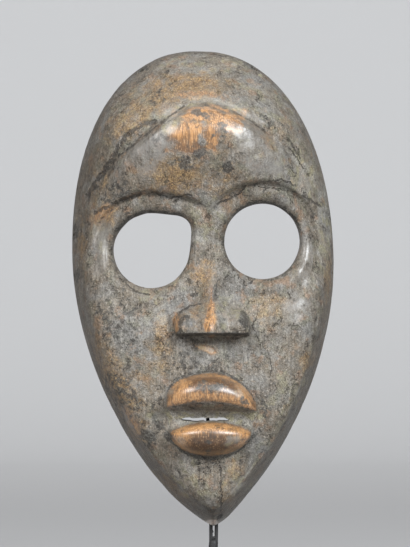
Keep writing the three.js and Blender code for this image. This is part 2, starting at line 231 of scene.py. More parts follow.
def carveForehead(across, up):  # polished boss swelling out under an arched groove
    below, offset = archPlace(across, up)
    inward = 1 - ease(offset, 0.25, arch["end"])
    swelling = share(boss["height"]) * ease(below, 0, share(boss["rise"]))
    swelling = swelling * (1 - ease(below, share(boss["fallFrom"]), share(boss["fallTo"])))
    cut = share(groove["depth"]) * bump((below - share(groove["below"])) / share(groove["width"]))
    cut = cut * ease(offset, 0.05, 0.5)
    return swelling * lerp(0.35, 1, inward) - cut * (1 - ease(offset, arch["end"], 1))


nose = {"across": 0.07, "top": 0.6, "base": 0.405, "height": 0.066, "underEdge": 0.004}
wing = {"height": 0.044, "across": 0.05, "up": 0.016, "halfWidth": 0.029, "halfHeight": 0.037}
flareStations = [[0, 0.018], [0.5, 0.025], [0.64, 0.032], [0.78, 0.066], [0.88, 0.076], [1, 0.078]]
ridgeStations = [[0, 0], [0.35, 0.1], [0.55, 0.28], [0.72, 0.6], [0.88, 0.92], [1, 1]]


def wingPlace(dx, dz):  # squared distance from the middle of a nose wing's oval, 1 on its outline
    aside = (dx - share(wing["across"])) / share(wing["halfWidth"])
    return np.square(aside) + np.square((dz - share(wing["up"])) / share(wing["halfHeight"]))


def carveNose(across, up):  # pointed roof on a flared half width, two round wings, cut off flat below
    dx = np.abs(across - nose["across"]) * halfWidth
    dz = (up - nose["base"]) * maskHeight
    length = (nose["top"] - up) / (nose["top"] - nose["base"])
    roof = np.maximum(0, 1 - dx / share(curveThrough(flareStations, length))) ** 0.9
    roof = share(nose["height"]) * roof * curveThrough(ridgeStations, length)
    wings = share(wing["height"]) * np.maximum(0, 1 - wingPlace(dx, dz)) ** 0.4
    return np.maximum(roof, wings) * ease(dz, -share(nose["underEdge"]), share(0.003))


mouth = {
    "across": 0.055, "up": 0.245, "leftWidth": 0.093, "rightWidth": 0.101, "lowerWidth": 0.091,
    "above": 0.082, "below": 0.094, "lipHeight": 0.058,
}
muzzle = {"height": 0.014, "spread": 0.13}
pocket = {"depth": 0.012, "below": 0.014, "tall": 0.014}
slit = {"across": 0.02, "up": 0.2295}
keel = {"across": 8.8 * mm, "height": 0.012, "halfWidth": 0.07, "top": 0.17}
lipStations = [  # place across a lip, below 0 on the lower one, and its height
    [-1.15, 0], [-1, 0.04], [-0.85, 0.6], [-0.6, 0.95], [-0.4, 0.9], [-0.27, 0.55], [-0.17, 0.12],
    [0, 0.25], [0.22, 0.75], [0.34, 0.93], [0.58, 1], [0.82, 0.75], [1, 0.06], [1.15, 0],
]


def mouthPlace(across, up):  # shares of the way along to a corner, and from the valley to a lip's edge
    dx = (across - mouth["across"]) * halfWidth
    dz = (up - mouth["up"]) * maskHeight
    left, upper = dx < 0, dz > 0
    upperWidth = np.where(left, mouth["leftWidth"], mouth["rightWidth"])
    half = share(lerp(upperWidth, mouth["lowerWidth"], ease(-dz, 0, share(0.03))))
    along = np.minimum(np.abs(dx) / half, 0.9999)
    above = mouth["above"] * (1 - along ** 2) ** np.where(left, 0.3, 0.7)
    below = mouth["below"] * (1 - along ** 2) ** 0.32
    startAbove = 0.022 * np.maximum(0.1, 1 - np.where(left, 0.65, 1.1) * along ** 2)
    start = share(np.where(upper, startAbove, 0.021 + 0.024 * along ** 2))
    span = share(np.where(upper, above, below)) - start
    height = np.abs(dz)
    sloping = 0.25 + 0.75 * (height - start) / np.maximum(span, 1e-6)
    lip = np.minimum(np.where(height < start, 0.25 * height / start, sloping), 2)
    closing = lerp(1, ease(span, 0, share(0.02)), ease(lip, 0.05, 0.2))
    return along, np.where(upper, lip, -lip), closing, dx, dz


def carveMouth(across, up):  # two lips on a low muzzle, a pocket at the left corner, and a keel on the chin
    along, lip, closing, dx, dz = mouthPlace(across, up)
    spread = share(muzzle["spread"])
    swelling = share(muzzle["height"]) * bump(dx / spread) * bump(dz / spread)
    leftward = ease(-dx, share(0.075), share(0.095)) - ease(-dx, share(0.11), share(0.135))
    corner = share(pocket["depth"]) * bump((dz + share(pocket["below"])) / share(pocket["tall"])) * leftward
    lips = share(mouth["lipHeight"]) * (1 - along ** 2) ** 0.4 * curveThrough(lipStations, lip) * closing
    fromKeel = np.abs(across * halfWidth - keel["across"]) / share(keel["halfWidth"])
    chin = share(keel["height"]) * np.clip(1 - fromKeel, 0, 1) * (1 - ease(up, 0.1, keel["top"]))
    return swelling - corner + np.where(along < 0.9998, lips, 0) + chin


def frontDepth(across, up, reach):  # the dome with the carving on it, from the back edge forwards
    carving = carveForehead(across, up) + carveNose(across, up) + carveMouth(across, up)
    for eye in eyes:
        carving = carving + carveEye(eye, across, up)
    dome = curveThrough(domeStations, up) * maskSizes["faceDepth"] * edgeFall(reach, up)
    return dome + carving * (1 - ease(reach, 0.84, 0.98))


def backDepth(across, up, reach):  # the hollow's floor, deeper behind the nose and the mouth
    mouthward = bump(planLength(across - mouth["across"], up - mouth["up"]) / share(0.09))
    noseward = bump(planLength(across - nose["across"], up - nose["base"] - 0.04) / share(0.09))
    hollow = share(0.03) * np.maximum(mouthward, noseward) * (1 - reach ** 2)
    dome = curveThrough(domeStations, up) * maskSizes["faceDepth"] - maskSizes["wall"]
    return dome * hollowFall(reach, up) + hollow


# Mesh helpers

def meshFrom(name, points, faces):
    mesh = bpy.data.meshes.new(name)
    mesh.from_pydata(points.tolist(), [], faces.tolist())
    return closed(mesh)


def closed(mesh):  # merges seams and poles, and turns the faces outwards
    shape = bmesh.new()
    shape.from_mesh(mesh)
    bmesh.ops.remove_doubles(shape, verts=shape.verts, dist=1e-7)
    bmesh.ops.dissolve_degenerate(shape, edges=shape.edges, dist=1e-8)
    bmesh.ops.recalc_face_normals(shape, faces=shape.faces)
    shape.to_mesh(mesh)
    shape.free()
    return mesh


def pieceFrom(name, mesh):
    piece = bpy.data.objects.new(name, mesh)
    bpy.context.scene.collection.objects.link(piece)
    return piece


def gridFaces(rows, columns):  # four-cornered faces of a sheet with rows + 1 by columns + 1 points
    row, column = np.meshgrid(np.arange(rows), np.arange(columns), indexing="ij")
    a = (row * (columns + 1) + column).ravel()
    return np.stack([a, a + columns + 1, a + columns + 2, a + 1], axis=1)


def vertexPoints(mesh):
    points = np.empty(len(mesh.vertices) * 3)
    mesh.vertices.foreach_get("co", points)
    return points.reshape(-1, 3)


def setPoints(mesh, points):
    mesh.vertices.foreach_set("co", points.astype(np.float32).ravel())
    mesh.update()


def setField(mesh, name, values):
    field = mesh.attributes.new(name, "FLOAT", "POINT")
    field.data.foreach_set("value", values.astype(np.float32))


def cutOrJoin(piece, others, operation):  # boolean with each other object, which is then removed
    for other in others:
        step = piece.modifiers.new("step", "BOOLEAN")
        step.operation = operation
        step.solver = "MANIFOLD"
        step.object = other
    bpy.context.view_layer.update()
    done = bpy.data.meshes.new_from_object(piece.evaluated_get(bpy.context.evaluated_depsgraph_get()))
    piece.modifiers.clear()
    piece.data = done
    for other in others:
        bpy.data.objects.remove(other)


# The mask's blank: a sheet wrapped across the face, round the back edge and back across the hollow

def maskPoints(across, up, isBack):
    reach = reachOf(across, up)
    ray = planLength(across - hubAcross, up - hubUp) / reach
    inset = np.where(isBack, maskSizes["rim"] / ray, 0)
    across = lerp(across, hubAcross, inset)
    up = lerp(up, hubUp, inset)
    depth = np.where(isBack, backDepth(across, up, reach), frontDepth(across, up, reach))
    rounding = maskSizes["rimRounding"]
    low = np.clip(rounding - depth, 0, rounding)
    eased = (rounding - np.sqrt(rounding ** 2 - low ** 2)) * np.where(isBack, -1, 1) / ray
    return np.stack([
        lerp(across, hubAcross, eased) * halfWidth,
        rimY - depth,
        lerp(up, hubUp, eased) * maskHeight + chinZ,
    ], axis=-1)


def maskBlank():  # rows and columns lie closer together towards the edge
    rows = maskSizes["rows"]
    face = -np.cos(np.pi * np.linspace(0, 1, maskSizes["faceColumns"] + 1))
    hollow = np.cos(np.pi * np.linspace(0, 1, maskSizes["hollowColumns"] + 1))
    side = np.concatenate([face, hollow, [-1]])
    isBack = np.concatenate([face * 0, hollow * 0 + 1, [0]]) > 0
    up = (1 + np.cos(np.pi * np.linspace(0, 1, rows + 1)))[:, None] / 2
    across = midline(up) + side * halfSpan(up)
    points = maskPoints(across, up + 0 * across, isBack)
    return meshFrom("mask_blank", points.reshape(-1, 3), gridFaces(rows, len(side) - 1))


def prism(name, outline, low, high):  # an outline in x and z, drawn out along y
    count = len(outline)
    near = np.column_stack([outline[:, 0], np.full(count, low), outline[:, 1]])
    far = near + [0, high - low, 0]
    ring = np.arange(count)
    following = (ring + 1) % count
    sides = [list(face) for face in np.stack([ring, following, following + count, ring + count], axis=1)]
    mesh = bpy.data.meshes.new(name)
    ends = [ring.tolist(), (ring + count).tolist()]
    mesh.from_pydata(np.concatenate([near, far]).tolist(), [], sides + ends)
    return pieceFrom(name, closed(mesh))


cutterReach = 100 * mm


def eyeCutter(eye):
    angle = np.linspace(-np.pi, np.pi, 120, endpoint=False)
    radius = eyeRadius(eye, angle)
    outline = np.column_stack([
        eye["across"] * halfWidth + radius * np.cos(angle),
        eye["up"] * maskHeight + chinZ + radius * np.sin(angle),
    ])
    return prism("eye_cutter", outline, rimY - cutterReach, rimY + cutterReach)


def slitCutter():  # ragged upper and lower lines that meet at both ends
    along = np.linspace(-1, 1, 41)
    half = maskSizes["slitHeight"] / 2 * (1 - along ** 8)
    ragged = softNoise(np.column_stack([along * 9, along * 0, along * 0]), 1, 11)
    upper = np.column_stack([along, half * (1 + 0.35 * ragged)])
    lower = np.column_stack([along, -half * (1 - 0.3 * ragged)])[::-1]
    outline = np.concatenate([upper, lower[1:-1]])
    outline[:, 0] = outline[:, 0] * maskSizes["slitLength"] / 2 + slit["across"] * halfWidth
    outline[:, 1] += slit["up"] * maskHeight + chinZ
    return prism("slit_cutter", outline, rimY - cutterReach, rimY + cutterReach)


# Which side, and how far up in the plan
fixingHoles = [(-1, 0.62), (-1, 0.524), (-1, 0.963), (1, 0.967), (1, 0.659), (1, 0.527), (1, 0.018)]


def fixingHoleCutter(side, up):  # a slim cylinder from outside the edge towards the face's middle
    edge = Vector(((side * halfSpan(np.array(up)) + midline(up)) * halfWidth, 0, up * maskHeight))
    inward = (Vector((hubAcross * halfWidth, 0, hubUp * maskHeight)) - edge).normalized()
    turn = np.linspace(0, 2 * np.pi, 16, endpoint=False)
    radius = maskSizes["fixingHole"] / 2
    outline = np.column_stack([radius * np.cos(turn), radius * np.sin(turn)])
    cutter = prism("fixing_cutter", outline, -22 * mm, 22 * mm)
    place = edge + Vector((0, rimY - maskSizes["fixingSetBack"], chinZ))
    cutter.data.transform(Vector((0, 1, 0)).rotation_difference(inward).to_matrix().to_4x4())
    setPoints(cutter.data, vertexPoints(cutter.data) + np.array(place))
    return cutter


print("carving the mask")
mask = pieceFrom("carved_mask", maskBlank())
cutOrJoin(mask, [eyeCutter(eye) for eye in eyes] + [slitCutter()], "DIFFERENCE")
cutOrJoin(mask, [fixingHoleCutter(side, up) for side, up in fixingHoles], "DIFFERENCE")

# What shows where on the wood: [across mm, mm above the chin, half width, half height, turn, strength]

polishedSpots = {
    "bossTop": [2, 206, 17, 6, 0, 1],
    "bossLeft": [-7, 198, 14, 8, 15, 1],
    "bossRight": [13, 203, 8, 7, -30, 0.9],
    "bossMiddle": [4, 197, 10, 8, 0, 0.9],
    "shoulderLeft": [-14, 196, 8, 5, 42, 0.6],
    "bossLow": [-7, 191, 10, 5, 0, 0.9],
    "archStrip": [-3, 216, 13, 2.8, 0, 0.5],
    "noseTip": [3.4, 104, 3.6, 9, 0, 1],
    "noseLeftWing": [-13, 104, 2.4, 6, 0, 0.9],
    "noseRidge": [4.5, 116, 1.8, 10, 0, 0.8],
    "philtrum": [1, 90.2, 6, 2, -15, 0.8],
    "chinTip": [5, 2.4, 3.4, 2, 0, 1],
    "templeCrease": [-50, 158, 7, 3.5, 40, 0.5],
    "jawLeft": [-36, 55, 3, 11, 32, 0.55],
}
satinSpots = {
    "foreheadLeft": [-25, 190, 9, 16, -35, 1],
    "foreheadRight": [27, 189, 9, 18, 35, 0.9],
    "shoulderLeft": [-18, 193, 16, 6, 42, 1],
    "shoulderRight": [22, 194, 19, 6, -51, 1],
    "foreheadMiddle": [2, 203, 26, 12, 0, 0.8],
    "eyeRingLeft": [-51, 141, 4, 14, 0, 0.9],
    "eyeRingRight": [51, 132, 4, 12, 0, 0.9],
    "cheekRight": [47, 109, 6, 6, 0, 0.8],
    "noseWings": [2, 104, 20, 7, 0, 0.6],
    "chinEdge": [20, 26, 2, 10, -35, 0.7],
}
ochreSpots = {
    "boss": [1, 202, 22, 13, 0, 1],
    "noseTip": [3, 105, 4.6, 10, 0, 1],
    "noseLeftPlane": [-4.5, 108, 5, 6, 0, 0.55],
    "noseLeftWing": [-13, 104, 3, 7, 0, 0.8],
    "domeLeft": [-34, 204, 20, 9, 35, 0.85],
    "domeBroad": [-18, 216, 22, 11, 20, 0.7],
    "domeMiddle": [-4, 221, 20, 7.5, 0, 0.85],
    "archStrip": [-4, 215.7, 14, 3, 0, 1],
    "browLeft": [-13, 177, 16, 9, 0, 0.95],
    "browRight": [12, 172, 13, 9, 0, 0.5],
    "bossSide": [34, 192, 7, 8, 0, 0.5],
    "temple": [-50, 157, 8, 6, 40, 0.9],
    "edgeLeft": [-61, 141, 3, 12, 0, 0.7],
    "edgeRight": [63, 126, 2.5, 14, 0, 0.7],
    "bridge": [-1, 126, 7, 11, 0, 0.85],
    "cheekRight": [32, 112, 8, 10, 0, 0.65],
    "jawRight": [51, 84, 4.5, 5, 0, 0.85],
    "cheekLeft": [-21, 94, 6, 17, 0, 0.75],
    "jawLeftBroad": [-43, 70, 8, 28, 24, 0.9],
    "templeLeftBroad": [-54, 168, 6, 20, -12, 0.5],
    "cheekLeftLow": [-32, 77, 9, 9, 0, 0.5],
    "philtrum": [1, 90.2, 6.5, 2.2, -15, 1],
    "wingLeft": [-9, 106, 5, 5, 0, 0.6],
    "chinTip": [5, 2.6, 4, 2.4, 0, 1],
    "jawLeftHigh": [-41, 62, 3.5, 7, 30, 1],
    "jawLeftLow": [-33, 49, 4.5, 8, 30, 1],
    "jawLeftMiddle": [-38, 57, 7, 14, 30, 0.75],
    "jawLeftBand": [-17, 20, 4.5, 15, 45, 0.95],
    "chinRight": [16, 30, 5, 5, 0, 0.75],
    "chinMiddle": [12.5, 20, 4, 10, 0, 0.5],
}
# Soot and dirt, with painted shade under the lips, round the mouth's corners, under the nose, round the nose
# wings, and over the left cheek and jaw
sootAndShadeSpots = {
    "brow": [-9, 182.5, 5.5, 4.2, 30, 0.85],
    "browUpper": [-1.5, 187.5, 4, 2.8, 20, 0.9],
    "browDrop": [12, 181, 2.6, 3.2, 0, 1],
    "bossCrustLeft": [-3.4, 207, 2.3, 2.5, 0, 0.9],
    "bossCrustRight": [1.4, 205, 2.5, 2.8, 0, 0.9],
    "archTop": [9.6, 211.2, 4.5, 1.5, -15, 0.8],
    "archFlecks": [32, 203, 6, 2.2, -40, 0.6],
    "bossRightEdge": [8, 197, 5, 4, 0, 0.6],
    "bossLeftEdge": [-22, 194, 6, 5, 30, 0.55],
    "templeLeft": [-42, 169, 11, 6, 30, 0.6],
    "domeLeft": [-23, 215, 5, 4, 30, 0.5],
    "bridge": [6, 119, 1.8, 7, 0, 0.9],
    "ridgeRight": [8.5, 107, 1.8, 5.5, 0, 0.75],
    "bridgeLeft": [-4.5, 117, 3.5, 3, 0, 0.65],
    "bossRightDark": [9, 200, 3, 3.5, 0, 0.7],
    "wingRight": [20.3, 104.5, 2.6, 5.5, 0, 1],
    "wingLeft": [-8, 104, 4.5, 4.5, 0, 0.7],
    "underNoseShade": [0, 85, 17, 8, 0, 0.42],
    "cheekLeft": [-42, 105, 12, 20, 15, 0.48],
    "jawLeft": [-27, 46, 5, 7, 30, 0.8],
    "jawLeftHigh": [-42, 68, 9, 22, 24, 0.55],
    "lipCorner": [20, 65, 3, 2.5, -30, 0.8],
    "lipMiddle": [4, 71.5, 9, 3.4, 0, 0.65],
    "lipLowMiddle": [3, 42, 3, 6, 0, 0.5],
    "mouthLeft": [-19.5, 49.5, 10, 2.6, -56, 0.85],
    "mouthLeftEnd": [-23, 63, 6, 1.6, 50, 0.6],
    "mouthRight": [30.5, 60, 7, 1.4, -80, 0.6],
    "mouthRightLow": [24, 46, 7, 1.7, 48, 0.65],
    "underLip": [2, 33.5, 12, 1.5, 0, 0.6],
    "chinHole": [8.6, 6, 2.4, 1.6, 20, 1.6],
    "crownHoleLeft": [-30, 231.4, 3.2, 2.6, 30, 1],
    "crownHoleRight": [23.9, 232.4, 3.6, 2.6, -30, 1],
    "edgeHoleLeft": [-64.5, 148, 2.6, 4, 0, 1],
    "edgeHoleLeftLow": [-63.5, 126.5, 2.4, 3.2, 0, 1],
    "edgeHoleRight": [64.5, 157, 2.6, 3.6, 0, 1],
}
# Pale dust, and painted highlights on the lips, the left eye ring's outer side and both boss shoulders, with
# painted light on the right temple, edge, cheek and jaw
dustAndHighlightSpots = {
    "betweenEyes": [3, 153, 9, 17, 0, 0.6],
    "underLeftEye": [-30, 117, 22, 6, 12, 0.5],
    "eyeRingLeft": [-51, 142, 2.8, 10, 0, 0.6],
    "cheekLeft": [-21, 110, 5, 12, 0, 0.7],
    "eyeCornerLeft": [-14, 125, 5, 5, 30, 0.6],
    "archLeft": [-36, 197, 12, 3, 45, 0.4],
    "mouthCornerRight": [27, 55.5, 4, 2.4, 0, 0.8],
    "domeRight": [34, 212, 22, 16, -40, 0.45],
    "crown": [3, 232, 34, 6, 0, 0.5],
    "eyeTopRight": [30, 169, 14, 4, 0, 0.45],
    "bridgeLeft": [-9, 124, 4, 6, 0, 0.6],
    "noseFront": [12, 108, 8, 9, 0, 0.65],
    "lipUpperRight": [17.5, 68.5, 4.5, 3.5, -30, 0.75],
    "lipLowerRight": [14, 45, 5, 3.4, 0, 1],
    "lipLowerLeft": [-11, 44.5, 3.5, 2.5, 0, 0.65],
    "lipUpperLeft": [-15.5, 68.5, 3, 3.4, 20, 0.7],
    "bossRight": [20, 194, 16, 4, -51, 0.6],
    "crownFlecks": [9.6, 234.3, 1.1, 1, 0, 1.5],
    "crownFlecksRight": [15.5, 232.5, 1.3, 0.8, 0, 1.5],
    "edgeFleck": [28.9, 227.4, 1, 1.1, 0, 1.5],
    "bossLeft": [-16, 202, 8, 5, 42, 1.2],
    "philtrum": [0.5, 90.4, 4.5, 1.5, -15, 1.2],
    "chinLeft": [-6, 25, 10, 10, 0, 0.65],
    "chinRight": [17, 26, 8, 10, 0, 0.55],
    "temple": [50, 176, 7, 15, 20, 0.8],
    "domeLeft": [-34, 206, 16, 10, 35, 0.45],
    "bossFarRight": [38, 185, 8, 13, 30, 0.5],
    "edgeRight": [61, 148, 4, 32, 0, 0.65],
    "jawRight": [43, 70, 8, 20, -25, 0.5],
    "cheekRight": [32, 110, 11, 12, 0, 0.5],
    "mouthCornerLeft": [-24, 56.5, 6, 3, 0, 0.8],
}


def spotField(x, z, spots, wobble, core=0.45):  # soft ellipses with wandering edges; the strongest counts
    field = np.zeros_like(x)
    for across, up, wide, high, turn, strength in spots.values():
        c, s = np.cos(radians(turn)), np.sin(radians(turn))
        dx, dz = x - across, z - up
        radius = np.hypot((dx * c + dz * s) / wide, (dz * c - dx * s) / high)
        field = np.maximum(field, strength * (1 - ease(radius + 0.45 * wobble, core, 1.7 - core)))
    return field


def vertexNormals(mesh):
    normals = np.empty(len(mesh.vertices) * 3)
    mesh.vertex_normals.foreach_get("vector", normals)
    return normals.reshape(-1, 3)


toolMarks = [(0.5, 17, 31), (0.28, 7, 32)]  # height in mm, size in mm, seed
crustLumps = [(0.12, 2.4, 33), (0.08, 1.25, 34)]


# The finish includes painted shade and painted highlights, set from each vertex's place and facing
def weather(mesh):  # works out each vertex's finish from its place, then roughens the surface to match
    points, normals = vertexPoints(mesh), vertexNormals(mesh)
    across, up = points[:, 0] / halfWidth, (points[:, 2] - chinZ) / maskHeight
    x, z = points[:, 0] / mm, (points[:, 2] - chinZ) / mm
    safeUp = np.clip(up, 0.0005, 0.9995)
    centre, span = midline(safeUp), halfSpan(safeUp)
    reach = reachOf(np.clip(across, centre - span, centre + span), safeUp)
    depth = rimY - points[:, 1]
    within = lerp(backDepth(across, safeUp, reach), frontDepth(across, safeUp, reach), 0.45)
    front = ease(depth - within, -0.5 * mm, 1 * mm)
    front = np.where(reach > 0.97, 1, front)
    wobble = softNoise(points, 5 * mm, 21) + 0.5 * softNoise(points, 2 * mm, 22)

    along, lip, closing, dx = mouthPlace(across, up)[:4]
    onLips = 1 - ease(along, 0.93, 1)
    upperLip = ease(lip, 0.22, 0.3) * (1 - ease(lip, 0.93, 1.02)) * onLips * closing
    lowerLip = ease(-lip, 0.2, 0.28) * (1 - ease(-lip, 0.92, 1)) * closing
    lipRims = np.maximum(bump((lip - 0.4) / 0.14), 0.8 * bump((np.abs(lip) - 0.95) / 0.08))
    lipRims = np.maximum(lipRims, 0.9 * bump((lip + 0.35) / 0.12))
    lipGlow = np.maximum(lipRims, bump((np.abs(dx / mm - 1) - 16) / 5)) * np.maximum(upperLip, lowerLip)
    torn = lip + 0.06 * wobble
    # painted shade in the recess under the upper lip, along with its dirt
    recess = ease(lip, -0.02, 0.04) * (1 - ease(torn, 0.25, 0.31)) * onLips
    recess = recess * lerp(0.1, 0.95, ease(torn, 0.18, 0.24))
    mouthFloor = ease(lip, -0.3, -0.12) * (1 - ease(lip, -0.02, 0.1)) * onLips
    # painted shade in the crease along the lips' outer edges
    lipLine = bump((np.abs(lip) - 1.03) / 0.05) * (1 - ease(along, 0.9, 0.99))

    noseX = np.abs(across - nose["across"]) * halfWidth / mm
    noseZ = (up - nose["base"]) * maskHeight / mm
    # painted shade under the nose's flat base
    underNoseShade = bump((noseZ - 0.3) / 1.1) * (1 - ease(noseX, 17, 20))
    # painted shade in the crease round each nose wing
    onWing = bump((np.sqrt(wingPlace(noseX * mm, noseZ * mm)) - 0.97) / 0.09)
    wingLine = onWing * ease(noseZ, -1, 1) * (1 - ease(noseZ, 9, 14))

    below, offset = archPlace(across, up)
    below = below / mm
    grooveSide = ease(-(across - arch["across"]), 0.2, 0.5) * (1 - ease(offset, 0.85, 0.98))
    # dirt in the arch groove's left branch, and painted shade in it
    grooveDirtAndShade = bump((below - 1.2 - 0.9 * wobble) / 1.7) * grooveSide
    grooveDust = bump(below / 2.6) * (1 - ease(offset, 0.22, 0.5))

    eyeHoleShadow, crease = 0 * x, 0 * x
    for eye in eyes:
        outside, angle = eyePlace(eye, across, up)
        outside, skyward = outside / mm, skywardOf(eye, angle)
        # painted shadow on each eye hole's inner edge, strongest above, and painted shade along the brow
        # crease
        eyeHoleShadow = np.maximum(eyeHoleShadow, (1 - ease(outside, 0.3, 2.6)) * lerp(0.4, 0.95, skyward))
        crease = np.maximum(crease, skyward * bump((outside - 9.6) / 1.5))

    polish = spotField(x, z, polishedSpots, wobble)
    polish = np.maximum(polish, np.maximum(upperLip, lowerLip))
    ochre = np.maximum(spotField(x, z, ochreSpots, wobble, 0.15), lipGlow)
    sootAndShade = spotField(x, z, sootAndShadeSpots, wobble)
    # painted shade on the jaw's bevel, which faces down and away from the lamps
    bevel = ease(reach + 0.006 * wobble, 0.895, 0.915) * (1 - ease(up, 0.4, 0.6))
    darkened = [0.68 * recess, lipLine, 1.2 * underNoseShade, 0.75 * wingLine, 0.6 * grooveDirtAndShade]
    for dark in darkened + [eyeHoleShadow, 0.25 * crease]:
        sootAndShade = np.maximum(sootAndShade, dark)
    # painted shade near the left edge and on faces turned sideways, the latter partly the sides' darker
    # crust
    sideways = ease(reach, 0.8, 0.97) * ease(up, 0.1, 0.3) * (1 - ease(up, 0.75, 0.95))
    isLeft = across < 0
    tip = 1 - ease(up, 0.015, 0.04)
    turned = ease(1 - np.abs(normals[:, 1]), 0.5, 0.85) * ease(reach, 0.75, 0.9)
    shade = np.maximum(sideways * np.where(isLeft, 0.65, 0), bevel * np.where(isLeft, 0.55, 0.75))
    shade = np.maximum(shade, turned * np.where(isLeft, 0.9, 0.6)) * (1 - tip)
    # painted highlight along the inner edge of the chin's bevel, on the right
    chinEdge = bump((reach - 0.882) / 0.009) * ease(up, 0.06, 0.09) * (1 - ease(up, 0.13, 0.17))
    # dust, with the painted highlights among its spots
    dust = np.maximum(spotField(x, z, dustAndHighlightSpots, wobble), np.maximum(1.15 * mouthFloor, 0.9 * grooveDust))
    dust = np.maximum(dust, chinEdge * (across > 0.1))
    satin = np.maximum(spotField(x, z, satinSpots, wobble), polish)

    fields = {"polish": polish, "ochre": ochre, "sootAndShade": sootAndShade, "dust": dust, "satin": satin, "shade": shade}
    for name, values in fields.items():
        setField(mesh, name, values * front)
    setField(mesh, "hollow", 1 - front)

    rough = front * (1 - np.maximum(0.85 * polish, 0.6 * satin))
    tooled = sum(height * softNoise(points, size * mm, seed) for height, size, seed in toolMarks)
    crust = sum(height * softNoise(points, size * mm, seed) for height, size, seed in crustLumps)
    pits = -0.28 * ease(softNoise(points, 3.1 * mm, 35), 0.5, 0.85)
    gouged = 0.55 * np.abs(softNoise(points * [1, 1, 0.45], 8 * mm, 36)) * (1 - front)
    away = tooled * lerp(0.5, 1, rough) + (crust + pits) * rough + gouged
    away = away - np.maximum(away, 0) * ease(reach, 0.85, 0.96)
    edge = ease(depth, 0, 2 * mm)
    setPoints(mesh, points + normals * (away * edge * mm)[:, None])


print("weathering the mask")
weather(mask.data)
mask.data.shade_smooth()
mask.data.set_sharp_from_angle(angle=radians(55))
print("mask faces", len(mask.data.polygons), "vertices", len(mask.data.vertices))

# The holder: bent wires and a shank, welded together under the chin

standSizes = {
    "shank": 4.6 * mm,
    "wire": 1.8 * mm,
    "wireGap": 0.8 * mm,
    "forkDrop": 9 * mm,
    "gap": 0.4 * mm,
    "foot": 3.6 * mm,
    "sides": 20,
}
rodY = rimY + standSizes["gap"] + standSizes["wire"] / 2
wireStep = (standSizes["wire"] + standSizes["wireGap"]) / 2
chinX = float(midline(np.array(0.0))) * halfWidth
forkZ = chinZ - standSizes["forkDrop"]


def smoothPath(corners, steps):  # Catmull-Rom through the corners, paced by the square root of the spans
    at = np.array(corners, float)
    span = np.sqrt(np.linalg.norm(np.diff(at, axis=0), axis=1))
    knots = np.concatenate([[0], np.cumsum(span)])
    place = np.linspace(0, knots[-1], steps)
    return np.column_stack([curveThrough(np.column_stack([knots, at[:, axis]]), place) for axis in range(3)])


def bar(name, path, radius):  # rings square to the path, with half-round ends drawn to a point
    sides = standSizes["sides"]
    tangent = np.gradient(path, axis=0)
    tangent = tangent / np.linalg.norm(tangent, axis=1)[:, None]
    radius = np.broadcast_to(radius, len(path))
    cap = np.sin(np.linspace(0, np.pi / 2, 6))
    start = path[0] - tangent[0] * radius[0] * np.sqrt(1 - cap ** 2)[:, None]
    finish = path[-1] + tangent[-1] * radius[-1] * np.sqrt(1 - cap[::-1] ** 2)[:, None]
    path = np.concatenate([start, path[1:-1], finish])
    tangent = np.concatenate([np.repeat(tangent[:1], 6, 0), tangent[1:-1], np.repeat(tangent[-1:], 6, 0)])
    radius = np.concatenate([radius[0] * cap, radius[1:-1], radius[-1] * cap[::-1]])
    sideways = np.cross(tangent, [0, 1, 0.02])
    sideways = sideways / np.linalg.norm(sideways, axis=1)[:, None]
    upright = np.cross(sideways, tangent)
    turn = np.linspace(0, 2 * np.pi, sides + 1)
    turn[-1] = 0
    ring = np.cos(turn)[None, :, None] * sideways[:, None] + np.sin(turn)[None, :, None] * upright[:, None]
    points = path[:, None] + radius[:, None, None] * ring
    return pieceFrom(name, meshFrom(name, points.reshape(-1, 3), gridFaces(len(path) - 1, sides)))


def bead(name, middle, size):  # an egg of rings, its radius the sine of the angle from the pole
    angle = np.linspace(0, np.pi, 13)[:, None]
    turn = np.linspace(0, 2 * np.pi, 21)[None, :]
    wide, tall = np.sin(angle), np.cos(angle) + 0 * turn
    around = np.stack([wide * np.cos(turn), wide * np.sin(turn), tall], axis=-1)
    points = around.reshape(-1, 3)
    lumpy = 1 + 0.12 * softNoise(points, 0.8, 41)[:, None]
    return pieceFrom(name, meshFrom(name, points * lumpy * size + middle, gridFaces(12, 20)))


def spinePath():  # up behind the mouth and the nose, then hooked under the forehead
    hookUp = 0.86
    inner = 1 - maskSizes["rim"] / share(1 - hubUp)
    hookReach = reachOf(np.array(0.0), np.array(hookUp)) / inner
    hookY = rimY - backDepth(0, hookUp, hookReach) + standSizes["wire"] + standSizes["gap"]
    wireX, slackY = chinX + wireStep, rimY - maskSizes["faceDepth"] / 4
    slitX = slit["across"] * halfWidth
    return smoothPath([
        [wireX, rodY, forkZ - standSizes["wire"]],
        [wireX, rodY, chinZ + share(0.02)],
        [lerp(wireX, slitX, 0.4), rodY - standSizes["wire"], chinZ + share(0.09)],
        [lerp(wireX, slitX, 0.8), slackY, chinZ + share(0.2265)],
        [0, slackY, chinZ + share(0.45)],
        [0, slackY, chinZ + share(0.7)],
        [0, lerp(slackY, hookY, 0.35), chinZ + share(0.8)],
        [0, hookY, chinZ + share(hookUp)],
    ], 120)


def chinPath():  # bent in over the chin's inner edge
    wireX, edgeZ = chinX - wireStep, chinZ + maskSizes["rim"]
    bendRadius = standSizes["wire"] / 2 + 2.5 * standSizes["gap"]
    bend = bendRadius / np.sqrt(2)
    return smoothPath([
        [wireX, rodY, forkZ - standSizes["wire"]],
        [wireX, rodY, edgeZ - standSizes["wire"]],
        [wireX, rimY + bend, edgeZ + bend],
        [wireX, rimY, edgeZ + bendRadius],
        [wireX, rimY - maskSizes["fixingSetBack"], edgeZ + 1.4 * bendRadius],
    ], 50)


